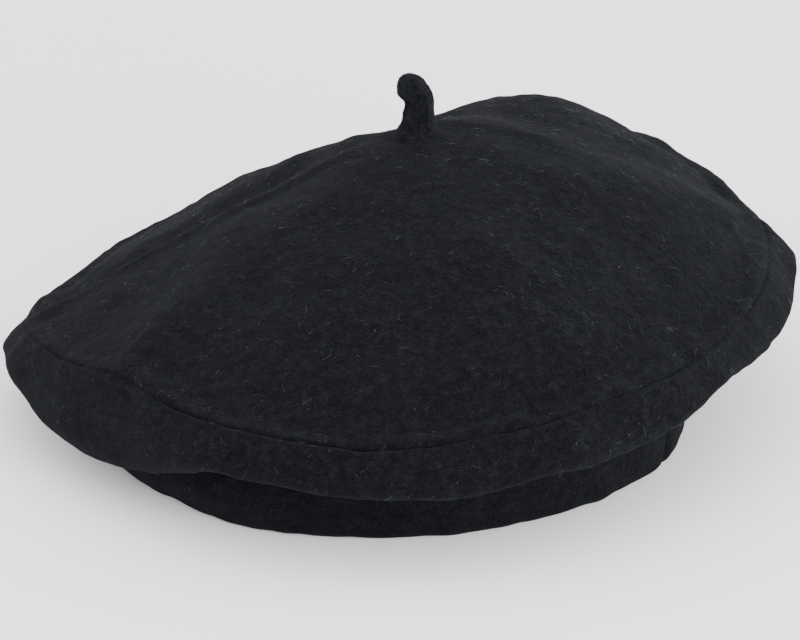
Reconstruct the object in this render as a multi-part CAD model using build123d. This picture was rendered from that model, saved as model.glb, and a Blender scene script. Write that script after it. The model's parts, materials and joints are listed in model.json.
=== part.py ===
"""A sewn wool beret: flat crown of two wool panels, a headband, a lining and a stalk.

Row frame, in millimetres: +Z up, origin at the centre of the head opening in the hem plane.
The crown leans 5 degrees towards -X, which is how it flops when the beret is set down.
"""

import os

from build123d import *

# ---- Driving dimensions -------------------------------------------------------------
HEAD_R = 92.0            # inside of the sweatband: a 578 mm head
BAND_H = 34.0            # the headband, its top hidden inside the crown
WOOL_T = 2.5             # milled wool cloth
LINING_T = 0.5           # satin
THREAD_R = 0.3           # sewing thread
SEWN_GAP = 0.1           # between a thread and the cloth it lies on
LAYER_GAP = 0.05         # between layers of cloth that lie against each other

RIM_R = 128.0            # the widest line of the crown
RIM_H = 40.0             # height of the widest line before the crown flops over
SEAM_R = 118.5           # where the top panel meets the side panel
CROWN_H = 55.0           # from the widest line up to the foot of the stalk
STALK_SHIFT_X = 16.0     # the crown's highest point, off the rim's centre
FLOP_DEG = -5.3          # the crown's lean about +Y at rest
FLOP_PIVOT_H = 29.0      # height of the line that the crown leans about

# ---- Headband layers, from the head outwards ----------------------------------------
SWEATBAND_T = 1.0
SWEATBAND_H = 31.0
HEM_FOLD_T = 2.0         # the cloth turned up inside the hem
HEM_FOLD_H = 10.0
INTERLINING_H = 22.0
SWEATBAND_OUT_R = HEAD_R + SWEATBAND_T
FOLD_IN_R = SWEATBAND_OUT_R + LAYER_GAP
FOLD_OUT_R = SWEATBAND_OUT_R + HEM_FOLD_T
BAND_OUT_R = FOLD_OUT_R + WOOL_T
HEM_STITCH_H = 3.0       # the seam through hem and sweatband
BACK_SEAM_DEG = -26.0    # the join in the headband, at the wearer's back
BACK_SEAM_SPAN = (5.0, 22.0)

# ---- Side panel, in the crown's own frame: z = 0 at the widest line -----------------
SEAM_Z = 8.2             # top of the seam above the widest line
SEAM_ALLOWANCE = 9.0     # raw edges turned down inside the crown
LIP_Z = -8.6             # lowest line of the rolled rim
COLLAR_R = 100.0         # inside of the collar that wraps the headband
COLLAR_TOP_Z = -6.8
COLLAR_BOTTOM_Z = -16.0
SIDE_PANEL_BENDS = [2.6, 6.6, 7.0, 3.0]

# ---- Top panel and lining ------------------------------------------------------------
APEX_FLAT_R = 12.0       # level patch under the stalk
DOME_MID_R = 65.0        # a circle half way out on the dome
DOME_MID_RISE = 0.64     # and the share of the dome's rise that it is at
PANEL_DROP = 2.7         # WOOL_T measured straight down through the slope
LINING_DROP = 5.6        # the lining's outside below the top panel's outside
LINING_FOOT_R = 113.5
LINING_SEAM_Z = SEAM_Z - 3.4
LINING_BEND_R = 2.0
LABEL_SIZE = (34.0, 22.0)
LABEL_X = -44.0
LABEL_T = 0.35

# ---- Stalk ---------------------------------------------------------------------------
STALK_H = 15.5           # free length, above the bend
STALK_R = 4.0            # at the bend, where it is narrowest
STALK_HEAD_R = 4.6
STALK_BEND_Z = CROWN_H + 5.0
STALK_HOLE_R = 4.2
SEAT_R = 4.4             # hollow in the root that the stalk's end turns in
ROOT_R = 8.5
ROOT_TOP_R = 5.3
ROOT_TOP_Z = STALK_BEND_Z - 2.2
ROOT_PLUG_R = 3.9
SPLAY_T = 1.0            # the tab's ends, spread out flat inside the crown
PATCH_T = 0.6
PATCH_TOP_Z = CROWN_H - PANEL_DROP - LAYER_GAP
SPLAY_TOP_Z = PATCH_TOP_Z - PATCH_T - LAYER_GAP

TALL = 4 * CROWN_H       # a cutter's height, more than any piece


# ---- Helpers -------------------------------------------------------------------------
def revolved(section):
    """A section drawn as (radius, height), turned about +Z."""
    return revolve(Plane.XZ * section, Axis.Z, 360)


def ring(inner_r, outer_r, bottom, top):
    """A ring of rectangular section."""
    return Pos(0, 0, bottom) * extrude(Circle(outer_r) - Circle(inner_r), top - bottom)


def thread_ring(radius, height):
    """One run of thread, as a closed ring."""
    return Pos(0, 0, height) * Torus(radius, THREAD_R)


def sheet_ring(points, radii, thickness):
    """Cloth inside an outline of (radius, height) points, with rounded corners."""
    outline = FilletPolyline(*points, radius=radii)
    edge = Wire(outline.edges()).offset_2d(thickness, kind=Kind.INTERSECTION, side=Side.LEFT)
    return revolved(Face(edge))


def dome(drop, foot_r=SEAM_R):
    """The solid under the crown's top surface, lowered by drop, leaning to the stalk."""
    foot_z = SEAM_Z - drop
    rise = CROWN_H - SEAM_Z
    stations = (
        (0.0, foot_r, foot_z),
        (0.6 * STALK_SHIFT_X, DOME_MID_R, foot_z + DOME_MID_RISE * rise),
        (STALK_SHIFT_X, APEX_FLAT_R, foot_z + rise),
    )
    return loft([Plane((x, 0, z)) * Circle(r) for x, r, z in stations])


def dome_shell(drop, thickness):
    """A layer of lining cloth under the dome."""
    return dome(drop, LINING_FOOT_R) - dome(drop + thickness, LINING_FOOT_R)


def at_stalk(shape):
    """Moves a shape drawn on the axis to the crown's highest point."""
    return Pos(STALK_SHIFT_X, 0, 0) * shape


# ---- Crown ---------------------------------------------------------------------------
def crown_top_panel():
    """The upper disc, with its raw edge turned down inside the seam."""
    edge_r = SEAM_R - LAYER_GAP
    skin = (dome(0) - dome(PANEL_DROP)) & Cylinder(edge_r, TALL)
    allowance = ring(SEAM_R - WOOL_T, edge_r, SEAM_Z - SEAM_ALLOWANCE, SEAM_Z)
    return skin + allowance - at_stalk(Cylinder(STALK_HOLE_R, TALL))


def crown_side_panel():
    """From the seam over the rolled rim, under it and down round the headband."""
    seam_r = SEAM_R + LAYER_GAP
    collar_out_r = COLLAR_R + WOOL_T
    points = (
        (seam_r, SEAM_Z - SEAM_ALLOWANCE),
        (seam_r, SEAM_Z),
        (RIM_R, SEAM_Z),
        (RIM_R, LIP_Z),
        (collar_out_r, COLLAR_TOP_Z),
        (collar_out_r, COLLAR_BOTTOM_Z),
    )
    return sheet_ring(points, SIDE_PANEL_BENDS, WOOL_T)


def rim_seam_thread():
    """The inner side of the rim seam, on the turned-down edge inside the crown."""
    return thread_ring(SEAM_R - WOOL_T - THREAD_R - SEWN_GAP, SEAM_Z - 0.5 * SEAM_ALLOWANCE)


def collar_thread():
    """The seam that holds the collar to the headband."""
    return thread_ring(COLLAR_R + WOOL_T + THREAD_R + SEWN_GAP, COLLAR_BOTTOM_Z + HEM_STITCH_H)


def lining_top():
    """Satin disc under the top panel."""
    return dome_shell(LINING_DROP, LINING_T)


def lining_side():
    """Satin ring over the inside of the rim, from the lining seam to the headband."""
    top_r = LINING_FOOT_R + 1.3
    floor_z = COLLAR_TOP_Z + WOOL_T + 1.1
    points = ((top_r, LINING_SEAM_Z - LINING_T), (top_r, floor_z), (COLLAR_R + 4.0, floor_z))
    return sheet_ring(points, [LINING_BEND_R], LINING_T)


def lining_seam_thread():
    """Joins the two lining pieces."""
    return thread_ring(LINING_FOOT_R + LINING_T, LINING_SEAM_Z)


def label_zone(border):
    """An upright block over the label, larger than it by the border."""
    length, width = LABEL_SIZE
    return Pos(LABEL_X, 0, 0) * Box(length + border, width + border, TALL)


def lining_label():
    """A blank woven label under the lining."""
    return dome_shell(LINING_DROP + LINING_T + SEWN_GAP, LABEL_T) & label_zone(0)


def label_thread():
    """The stitching round the label's edge."""
    drop = LINING_DROP + LINING_T + LABEL_T + 2 * SEWN_GAP
    return dome_shell(drop, THREAD_R) & (label_zone(-1.0) - label_zone(-2.0))


# ---- Stalk and what holds it ---------------------------------------------------------
def stalk():
    """The free part of the rolled wool tab: round at the bend, thicker at the head."""
    head_z = STALK_H - STALK_HEAD_R
    shank = Pos(0, 0, head_z / 2) * Cone(STALK_R, STALK_HEAD_R, head_z)
    head = Pos(0, 0, head_z) * Sphere(STALK_HEAD_R)
    return at_stalk(Pos(0, 0, STALK_BEND_Z) * (Sphere(STALK_R) + shank + head))


def stalk_root():
    """The sewn end of the tab: a foot on the crown, a plug, and ends splayed inside."""
    foot_z = CROWN_H + LAYER_GAP
    foot = Pos(0, 0, (foot_z + ROOT_TOP_Z) / 2) * Cone(ROOT_R, ROOT_TOP_R, ROOT_TOP_Z - foot_z)
    seat = Pos(0, 0, STALK_BEND_Z) * Sphere(SEAT_R)
    splay_bottom_z = SPLAY_TOP_Z - SPLAY_T
    plug = Pos(0, 0, splay_bottom_z) * extrude(Circle(ROOT_PLUG_R), foot_z - splay_bottom_z)
    splay = ring(0.5 * ROOT_PLUG_R, ROOT_R, splay_bottom_z, SPLAY_TOP_Z)
    return at_stalk(foot + plug + splay - seat)


def stalk_stay_patch():
    """A round of stiff cloth inside the crown that the stalk is sewn through."""
    return at_stalk(ring(STALK_HOLE_R, APEX_FLAT_R, PATCH_TOP_Z - PATCH_T, PATCH_TOP_Z))


def stalk_tack_thread():
    """The thread whipped round the stalk's foot."""
    return at_stalk(thread_ring(ROOT_R + THREAD_R + SEWN_GAP, CROWN_H + THREAD_R + SEWN_GAP))


# ---- Headband ------------------------------------------------------------------------
def headband_shell():
    """Wool strip with its lower edge turned up inside."""
    wall = ring(FOLD_OUT_R, BAND_OUT_R, 0, BAND_H)
    return wall + ring(FOLD_IN_R, FOLD_OUT_R, 0, HEM_FOLD_H)


def headband_interlining():
    """Stiffener above the turned-up hem, between the wool and the sweatband."""
    bottom = HEM_FOLD_H + 2 * (THREAD_R + SEWN_GAP)
    return ring(FOLD_IN_R, FOLD_OUT_R - LAYER_GAP, bottom, bottom + INTERLINING_H)


def sweatband():
    """The band that meets the head."""
    return ring(HEAD_R, SWEATBAND_OUT_R, 0, SWEATBAND_H)


def hem_catch_thread():
    """Holds the turned-up edge of the hem."""
    return thread_ring((SWEATBAND_OUT_R + FOLD_OUT_R) / 2, HEM_FOLD_H + THREAD_R + SEWN_GAP)


def sweatband_thread():
    """The seam through hem and sweatband, on the outside near the edge."""
    return thread_ring(BAND_OUT_R + THREAD_R + SEWN_GAP, HEM_STITCH_H)


def back_seam_thread():
    """The upright seam that closes the headband into a ring."""
    bottom, top = BACK_SEAM_SPAN
    line = Cylinder(THREAD_R, top - bottom)
    radius = BAND_OUT_R + THREAD_R + SEWN_GAP
    return (Pos(radius, 0, (bottom + top) / 2) * line).rotate(Axis.Z, BACK_SEAM_DEG)


# ---- Placing and writing -------------------------------------------------------------
def placed(shape):
    """Takes a crown piece from the crown's own frame to the row frame."""
    pivot = Axis((0, 0, FLOP_PIVOT_H), (0, 1, 0))
    return (Pos(0, 0, RIM_H) * shape).rotate(pivot, FLOP_DEG)


CROWN_PIECES = (
    crown_top_panel, crown_side_panel, rim_seam_thread, collar_thread,
    lining_top, lining_side, lining_seam_thread, lining_label, label_thread,
    stalk, stalk_root, stalk_stay_patch, stalk_tack_thread,
)
HEADBAND_PIECES = (
    headband_shell, headband_interlining, sweatband,
    hem_catch_thread, sweatband_thread, back_seam_thread,
)

os.makedirs("parts", exist_ok=True)
for piece in CROWN_PIECES:
    export_step(placed(piece()), f"parts/{piece.__name__}.step")
for piece in HEADBAND_PIECES:
    export_step(piece(), f"parts/{piece.__name__}.step")

bend = placed(at_stalk(Pos(0, 0, STALK_BEND_Z) * Vertex(0, 0, 0))).center()
print("stalk bends at", [round(v, 3) for v in bend])
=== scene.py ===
"""A black wool beret on a pale floor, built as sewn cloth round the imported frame."""

import json
import math

import bpy
import numpy as np
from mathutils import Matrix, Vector


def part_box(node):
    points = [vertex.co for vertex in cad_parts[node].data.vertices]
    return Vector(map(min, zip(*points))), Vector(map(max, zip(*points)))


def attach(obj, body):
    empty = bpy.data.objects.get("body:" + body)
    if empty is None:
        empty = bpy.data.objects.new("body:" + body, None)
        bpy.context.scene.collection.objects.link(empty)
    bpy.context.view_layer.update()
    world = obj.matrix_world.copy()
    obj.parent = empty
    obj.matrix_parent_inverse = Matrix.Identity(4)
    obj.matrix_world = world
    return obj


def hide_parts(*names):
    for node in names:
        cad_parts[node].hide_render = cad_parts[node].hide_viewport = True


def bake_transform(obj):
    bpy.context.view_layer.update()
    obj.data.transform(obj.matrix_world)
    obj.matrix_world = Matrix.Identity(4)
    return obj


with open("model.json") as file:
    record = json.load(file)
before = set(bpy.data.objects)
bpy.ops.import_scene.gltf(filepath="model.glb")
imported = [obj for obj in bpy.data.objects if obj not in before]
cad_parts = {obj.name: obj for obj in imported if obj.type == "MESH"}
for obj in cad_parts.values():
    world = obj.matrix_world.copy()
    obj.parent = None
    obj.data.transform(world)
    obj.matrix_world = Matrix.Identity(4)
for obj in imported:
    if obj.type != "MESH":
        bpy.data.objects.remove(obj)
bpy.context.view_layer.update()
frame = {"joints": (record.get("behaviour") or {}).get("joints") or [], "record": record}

# ---- Measures taken from the frame, in millimetres ----
MM = 0.001
joints = {j["name"]: j for j in frame["joints"]}
mounts = {m["name"]: m for m in frame["record"]["mounts"]}


def node_top(node):
    """Highest corner of a CAD node's box, in millimetres."""
    return np.array(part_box(node)[1]) / MM


TILT_PIVOT = np.array(joints["crown_tilt"]["pos_m"]) / MM
HEAD_R = mounts["head_opening"]["dims"]["r_mm"]
SWEATBAND_H = node_top("sweatband")[2]
BAND_R = node_top("headband_shell")[0]
STALK_TOP_Z = node_top("stalk")[2]

# ---- The crown's shape, in its own frame before it leans over ----
LEAN = math.radians(5.3)     # towards -X, about a line through TILT_PIVOT
RIM_SHIFT_X = 3.0            # the crown hangs this far off the head opening's axis
SEAM_R = 118.5
SEAM_Z = 44.6
APEX_X = 16.0                # foot of the stalk
DOME_RISE = 46.9             # from the rim seam to the foot of the stalk
TENT_RISE = 3.3              # how far the stalk pulls the cloth up round itself
TENT_R = 7.5                 # and how far out that reaches
STALK_HOLE = 0.028           # where the top panel starts, as a share of the way to the rim
FOLD_FADE = (0.03, 0.15)     # where the folds begin and the stretch that they grow over, likewise
CORNER_R = BAND_R + 1.1      # where the side panel is sewn to the headband
CORNER_Z = 29.5

WOOL_T = 2.3
LINING_T = 0.4
COLUMNS = 512                # points round the beret
FULL_TURN = 2 * math.pi

# ---- How this beret has slumped ----
# Azimuth in degrees; how far the seam moves outwards and up; how full the dome is there, where
# 2 is a parabola from stalk to rim and 1 a straight slope; how far the rim rolls out past the
# seam, where 1 is the whole section; and how far the section hangs.
RIM_SLUMP = (
    (0, 2.2, 0.8, 2.45, 1.05, 0.95),
    (25, 0, 0.6, 2.6, 1.05, 1),
    (50, -0.5, 3.6, 2.55, 1, 1),
    (75, -0.5, 0.2, 1.8, 1, 1),
    (100, -5, -6.5, 1.5, 1, 0.95),
    (125, -11.5, -7.2, 1.62, 0.95, 0.85),
    (150, -9, -7.8, 1.78, 0.95, 0.8),
    (172, -2.5, -5.8, 1.6, 1, 0.7),
    (190, 0.5, 2.2, 1.56, 0.95, 0.63),
    (205, -1.5, 6, 1.88, 0.95, 0.72),
    (221, -4.5, 8.8, 2.1, 0.95, 0.92),
    (236, -2.5, 7, 2.1, 0.95, 0.9),
    (252, -0.5, 3, 2.1, 0.9, 0.9),
    (270, 0, -1.4, 2.15, 1, 1),
    (290, 0, -2.2, 2.2, 1, 1.08),
    (310, 0.5, -2, 2.2, 1, 1.02),
    (326, 1, -2.6, 2.3, 0.8, 0.70),
    (340, 2.4, -1.5, 2.45, 0.9, 0.85),
)
# Each fold's path in plan, its half width and its height.
CROWN_FOLDS = (
    # the left crease's crest, with a steep drop behind it
    (((0, -2), (-42, -5), (-80, -9), (-112, -13)), 4, 1.7),
    (((-20, 11), (-50, 11), (-82, 7), (-104, 3)), 11, -4.4),
    # the fallen quarter behind that, and the lump at its edge
    (((-38, 50), (-54, 40), (-72, 30)), 18, -3.4),
    (((-40, 74), (-62, 66)), 12, 2.5),
    # the front left fold with a hollow on each side of it
    (((-52, -56), (-74, -65), (-90, -69)), 12, 1.8),
    (((-60, -34), (-80, -40), (-95, -42)), 14, -2.2),
    (((-30, -52), (-52, -74), (-66, -94)), 14, -1.2),
    # the ridge that runs right from behind the stalk, and the valley behind it
    (((14, 6), (38, 8), (60, 4)), 5, 1.4),
    (((6, 27), (34, 33), (62, 26)), 13, -3.6),
    (((6, 40), (-4, 70)), 15, -6.0),
    (((38, 74), (70, 60)), 18, 2.5),
    # the ridge on the right, and the hollow behind it
    (((56, -20), (80, -13), (102, -1), (114, 8)), 9, 1.6),
    (((74, 12), (94, 25), (112, 32)), 12, -3.0),
    # slack in the front
    (((30, -50), (44, -84), (46, -108)), 18, 1.6),
    (((70, -30), (92, -50)), 14, -1.6),
)
FLUSH_DEG = (212, 22)        # where the rim hangs down over the headband

# Side panel's section from the rim seam: outwards from the seam, and up.
SECTION_ROLLED = (
    (0, 0), (3.1, -2.3), (6.0, -5.2), (8.0, -8.8), (8.1, -12.0), (5.4, -14.8),
    (-1.0, -15.6), (-8.0, -15.2), (-14.0, -15.0),
)
SECTION_HANGING = (
    (0, 0), (3.2, -2.2), (6.6, -5.8), (9.2, -11.4), (10.0, -18.0), (8.4, -24.6),
    (3.0, -29.0), (-4.5, -27.0), (-12.0, -20.0),
)

# ---- Numbers and smooth fields ----
def smoothstep(x):
    x = np.clip(x, 0, 1)
    return x * x * (3 - 2 * x)


def turn_from(theta, centre):
    """The angle from a centre to each azimuth, at most half a turn either way."""
    return (theta - centre + math.pi) % FULL_TURN - math.pi


def azimuth_bump(theta, centre_deg, width_deg):
    """1 at an azimuth, falling to nothing either side of it."""
    return np.exp(-((turn_from(theta, math.radians(centre_deg)) / math.radians(width_deg)) ** 2))


def ripple(points, wavelength, amplitude, seed, waves=28):
    """A soft random field: many sine waves in random directions."""
    random = np.random.default_rng(seed)
    turn = unit(random.normal(size=(waves, 3)))
    length = wavelength * random.uniform(0.65, 1.5, waves)
    phase = random.uniform(0, FULL_TURN, waves)
    field = np.zeros(points.shape[:-1])
    for direction, size, start in zip(turn, length, phase):
        field += np.sin(points @ direction * FULL_TURN / size + start)
    return field * amplitude * math.sqrt(2 / waves)


def off_axis(points):
    """How far points are from the head opening's axis."""
    return np.hypot(points[..., 0], points[..., 1])


def unit(vectors):
    return vectors / np.linalg.norm(vectors, axis=-1, keepdims=True)


def run_of(line):
    """Distance from the first point of a line, or of each column of a grid, to the others."""
    steps = np.linalg.norm(np.diff(line, axis=0), axis=-1)
    return np.concatenate([0 * steps[:1], np.cumsum(steps, axis=0)])


def points_on(line, run, at):
    """Points at some distances along a line."""
    return np.stack([np.interp(at, run, line[:, i]) for i in range(3)], axis=-1)


def catmull_rom(a, b, c, d, t):
    """The curve from b to c as t goes from 0 to 1, coming from a and going on to d."""
    return 0.5 * (2 * b + (c - a) * t + (2 * a - 5 * b + 4 * c - d) * t**2
                  + (3 * b - a - 3 * c + d) * t**3)


def smooth_path(points, samples):
    """A smooth line through a few points."""
    points = np.array(points, float)
    ends = np.vstack([2 * points[0] - points[1], points, 2 * points[-1] - points[-2]])
    at = np.linspace(0, len(points) - 1, samples)
    i = np.minimum(at.astype(int), len(points) - 2)
    t = (at - i)[:, None]
    return catmull_rom(*(ends[i + k] for k in range(4)), t)


def soft_ridge(x, y, path, width, height):
    """Height of a rounded ridge along a path in plan, dying away past its ends."""
    line = smooth_path(path, 40)
    steps = np.linalg.norm(np.diff(line, axis=0), axis=1)
    weight = np.append(steps, steps[-1]) / (width * math.sqrt(math.pi))
    total = np.zeros_like(x)
    for (px, py), w in zip(line, weight):
        total += w * np.exp(-((x - px) ** 2 + (y - py) ** 2) / width**2)
    return height * total


def resample(grid, rows, columns):
    """A grid of points that closes on itself across its columns, made finer or coarser."""
    def cubic(values, at, closed):
        n = values.shape[0]
        i = np.floor(at).astype(int)
        t = (at - i).reshape(-1, *[1] * (values.ndim - 1))
        pick = [(i + k) % n if closed else np.clip(i + k, 0, n - 1) for k in (-1, 0, 1, 2)]
        return catmull_rom(*(values[p] for p in pick), t)
    fine = cubic(grid, np.linspace(0, grid.shape[0] - 1, rows), closed=False)
    across = np.arange(columns) * grid.shape[1] / columns
    return cubic(fine.swapaxes(0, 1), across, closed=True).swapaxes(0, 1)


# ---- The crown's shape ----
def slump(theta):
    """The columns of RIM_SLUMP after the first, at each azimuth."""
    table = np.array(RIM_SLUMP)
    turn = (360, 0, 0, 0, 0, 0)
    before, after = table[-2:] - turn, table[:2] + turn
    line = smooth_path(np.vstack([before, table, after]), 40 * (len(table) + 4))
    degrees = np.degrees(theta) % 360
    return [np.interp(degrees, line[:, 0], line[:, i]) for i in range(1, 6)]


def fold_height(x, y):
    """How far the folds lift the crown over points in plan."""
    return sum(soft_ridge(x, y, path, width, height) for path, width, height in CROWN_FOLDS)


def leaned(points):
    """Takes points from the crown's own frame to the shared frame."""
    c, s = math.cos(LEAN), math.sin(LEAN)
    p = points - TILT_PIVOT
    return np.stack([p[..., 0] * c - p[..., 2] * s, p[..., 1], p[..., 0] * s + p[..., 2] * c],
                    axis=-1) + TILT_PIVOT


def azimuths(columns):
    """Even azimuths round a whole turn, the first on +X."""
    return np.arange(columns) * FULL_TURN / columns


def around(radius, theta, z):
    """Points at a radius, an azimuth and a height, which may be grids, rows or columns."""
    return np.stack(np.broadcast_arrays(radius * np.cos(theta), radius * np.sin(theta), z), axis=-1)


def seam_plan(theta, out):
    """Where the rim seam lies in plan, in the crown's own frame."""
    return RIM_SHIFT_X + (SEAM_R + out) * np.cos(theta), (SEAM_R + out) * np.sin(theta)


def top_surface(rows, columns):
    """The top panel's outer face, from the foot of the stalk out to the rim seam."""
    theta = azimuths(columns)[None, :]
    t = np.linspace(STALK_HOLE, 1, rows)[:, None]
    out, up, fullness = slump(theta)[:3]
    edge_x, edge_y = seam_plan(theta, out)
    x = APEX_X + (edge_x - APEX_X) * t
    y = edge_y * t
    z = SEAM_Z + DOME_RISE * (1 - t**fullness) + up * t**2
    z = z + fold_height(x, y) * smoothstep((t - FOLD_FADE[0]) / FOLD_FADE[1])
    z = z + TENT_RISE * np.exp(-((np.hypot(x - APEX_X, y) / TENT_R) ** 1.5))
    return np.stack([x, y, z], axis=-1)


def side_surface(rows, columns):
    """The side panel's outer face, from the rim seam round the rim to the headband."""
    theta = azimuths(columns)
    share = azimuth_bump(theta, *FLUSH_DEG)[None, :, None]
    rolled, hanging = (smooth_path(s, rows) for s in (SECTION_ROLLED, SECTION_HANGING))
    section = rolled[:, None, :] * (1 - share) + hanging[:, None, :] * share
    k = np.linspace(0, 1, rows)[:, None]
    hold = 1 - smoothstep((k - 0.45) / 0.5)
    out, up, _, roll, hang = slump(theta)
    radius = SEAM_R + section[..., 0] * roll + out * (0.3 + 0.7 * hold)
    z = SEAM_Z + section[..., 1] * hang + (up + fold_height(*seam_plan(theta, out))) * (0.15 + 0.85 * hold)
    # the last stretch runs in to the seam with the headband, which is round the head's axis
    join = smoothstep((k - 0.72) / 0.28)
    radius = radius + (CORNER_R - radius[-1]) * join
    z = z + (CORNER_Z - z[-1]) * join
    x = RIM_SHIFT_X * (1 - join) + radius * np.cos(theta)
    return np.stack([x, radius * np.sin(theta), z], axis=-1)


# ---- The headband's shape ----
BAND_T = 2.1
HEM_TURN_R = 1.15            # the middle of the cloth, where it turns up inside the hem
HEM_FOLD_H = 10.0
HEM_TURN_ROWS, HEM_UP_ROWS = 12, 8
FOLD_CLEARANCE = 1.05        # room for the sweatband inside the turned-up hem
COLLAR_OVERLAP = 1.4         # how far the headband runs up past the crown's seam
JOIN_DEG = -27.0             # the band's join, low down; it slants towards the back higher up


def join_azimuth(z):
    """Where the headband's join is at each height."""
    return np.radians(JOIN_DEG + 9.0 * smoothstep((z - 8) / 14) - 3.0 * smoothstep((8 - z) / 8))


def band_outside(z, theta, corner_r, corner_z):
    """Radius of the headband's outer face, with its waves, bulges and join."""
    k = np.clip(z / corner_z, 0, 1)
    flat = around(BAND_R, theta, 0.35 * z)
    wave = ripple(flat, 46.0, 0.45, 21) + ripple(flat, 15.0, 0.18, 22)
    bulge = (3.0 * azimuth_bump(theta, 243, 12) + 1.8 * azimuth_bump(theta, 325, 14)
             + 2.6 * azimuth_bump(theta, 268, 55)) * (1 - k)
    swell = 5.0 * azimuth_bump(theta, 226, 24) * np.sin(math.pi * k)
    lap = turn_from(theta, join_azimuth(z))
    step = 1.0 * smoothstep(lap / 0.03) * np.exp(-np.clip(lap, 0, None) / 0.5)
    groove = -0.8 * np.exp(-((lap / 0.016) ** 2))
    flare = (corner_r - BAND_R) * smoothstep(k) ** 1.3
    return BAND_R + 0.1 + flare + wave + bulge + swell + (step + groove) * smoothstep(z / 4.0)


def band_middle(corner, rows):
    """The middle of the headband's cloth: down the outside, round the hem and up inside."""
    theta = azimuths(corner.shape[0])[None, :]
    corner_r, corner_z = off_axis(corner)[None], corner[None, :, 2]
    floor_z = HEM_TURN_R + BAND_T / 2
    down = np.linspace(1, 0, rows)[:, None]
    z_wall = floor_z + (corner_z + COLLAR_OVERLAP - floor_z) * down
    r_wall = band_outside(z_wall, theta, corner_r, corner_z) - BAND_T / 2
    turn = np.linspace(0, math.pi, HEM_TURN_ROWS)[1:, None]
    r_inside = HEAD_R + FOLD_CLEARANCE + BAND_T / 2
    turn_r = (r_wall[-1:] - r_inside) / 2
    r_turn = r_inside + turn_r * (1 + np.cos(turn))
    z_turn = floor_z - HEM_TURN_R * np.sin(turn)
    z_up = np.linspace(floor_z, HEM_FOLD_H, HEM_UP_ROWS)[1:, None] + 0 * theta
    r = np.concatenate([r_wall, r_turn, r_inside + 0 * z_up])
    z = np.concatenate([z_wall, z_turn + 0 * theta, z_up])
    return around(r, theta, z)


# ---- The stalk's shape ----
STALK_X = 9.8                # where it stands in the shared frame, and the height of its foot
STALK_FOOT_Z = 92.8
STALK_R = 4.35
STALK_COLUMNS, STALK_ROWS = 84, 80
HEAD_FROM, HEAD_OVER = 0.77, 0.24    # shares of its length where the head rounds off


def stalk_face():
    """A tab of rolled wool: a spread foot, lengthwise creases and a bent, rounded head."""
    foot, top = STALK_FOOT_Z, STALK_TOP_Z - 2.4
    bends = ((-0.4, foot), (-0.2, foot + 5.5), (0.1, top - 9.6),
             (-0.8, top - 6.6), (-3.0, top - 4.9), (-6.9, top - 4.8))
    axis = smooth_path([(STALK_X + x, 0, z) for x, z in bends], STALK_ROWS)
    k = np.linspace(0, 1, STALK_ROWS)[:, None]
    phi = azimuths(STALK_COLUMNS)[None, :]
    flare = 2.8 * np.exp(-((k / 0.12) ** 1.4)) + 0.6 * np.exp(-((k / 0.3) ** 2))
    body = STALK_R + 0.5 * smoothstep((k - 0.5) / 0.25)
    head = np.sqrt(np.clip(1 - (np.clip(k - HEAD_FROM, 0, None) / HEAD_OVER) ** 2.2, 0, 1))
    creases = 0.26 * np.sin(7 * phi + 1.2 + 0.8 * np.sin(3 * k)) + 0.16 * np.sin(13 * phi + 2 * k)
    creases = creases * smoothstep((k - 0.1) / 0.12) * (1 - 0.8 * smoothstep((k - 0.55) / 0.15))
    fold = -1.0 * azimuth_bump(phi, 250, 20) * smoothstep((0.45 - k) / 0.2) * smoothstep(k / 0.1)
    radius = (flare + body + creases + fold) * head
    lean = unit(np.gradient(axis, axis=0))
    across = np.stack([lean[:, 2], 0 * lean[:, 2], -lean[:, 0]], axis=1)[:, None]
    return axis[:, None] + across * (radius * np.cos(phi))[..., None] + np.stack(
        np.broadcast_arrays(0.0, radius * np.sin(phi) * 0.94, 0.0), axis=-1)


# ---- Grids to meshes ----
def normals(grid):
    """Outward unit normals of a grid that closes on itself across its columns."""
    along = np.gradient(grid, axis=0)
    wrapped = np.concatenate([grid[:, -1:], grid, grid[:, :1]], axis=1)
    across = (wrapped[:, 2:] - wrapped[:, :-2]) / 2
    n = np.cross(along, across)
    return n / np.maximum(np.linalg.norm(n, axis=-1, keepdims=True), 1e-9)


def ring_faces(rows, columns, closed_rows=False):
    """Quads of a grid of points, closed across its columns."""
    r = np.arange(rows if closed_rows else rows - 1)[:, None]
    c = np.arange(columns)[None, :]
    a, b = r * columns + c, r * columns + (c + 1) % columns
    below = (r + 1) % rows
    d, e = below * columns + c, below * columns + (c + 1) % columns
    return np.stack([a, d, e, b], axis=-1).reshape(-1, 4)


def put(name, data):
    """A new object in the scene."""
    thing = bpy.data.objects.new(name, data)
    bpy.context.scene.collection.objects.link(thing)
    return thing


def put_mesh(name, points_mm, faces):
    """A plain mesh in the shared frame, from points in millimetres."""
    mesh = bpy.data.meshes.new(name)
    mesh.from_pydata((points_mm.reshape(-1, 3) * MM).tolist(), [], faces.tolist())
    return put(name, mesh)


def add_mesh(name, points_mm, faces, material, slot):
    """A smooth piece of the beret, with its material. The slot is not used."""
    piece = put_mesh(name, points_mm, faces)
    mesh = piece.data
    mesh.polygons.foreach_set("use_smooth", np.ones(len(mesh.polygons), bool))
    mesh.materials.append(material)
    mesh.update()
    return piece


def by_rows(grid, at):
    """Rows of a grid at fractional positions from 0 to 1."""
    place = at * (grid.shape[0] - 1)
    i = np.minimum(place.astype(int), grid.shape[0] - 2)
    share = (place - i)[:, None, None]
    return grid[i] * (1 - share) + grid[i + 1] * share


def add_cloth(name, outer, inner, material, slot):
    """A ring of cloth with two faces, joined at both edges. Both grids run the same way."""
    grid = np.concatenate([outer, inner[::-1]], axis=0)
    return add_mesh(name, grid, ring_faces(*grid.shape[:2], closed_rows=True), material, slot)


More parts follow.
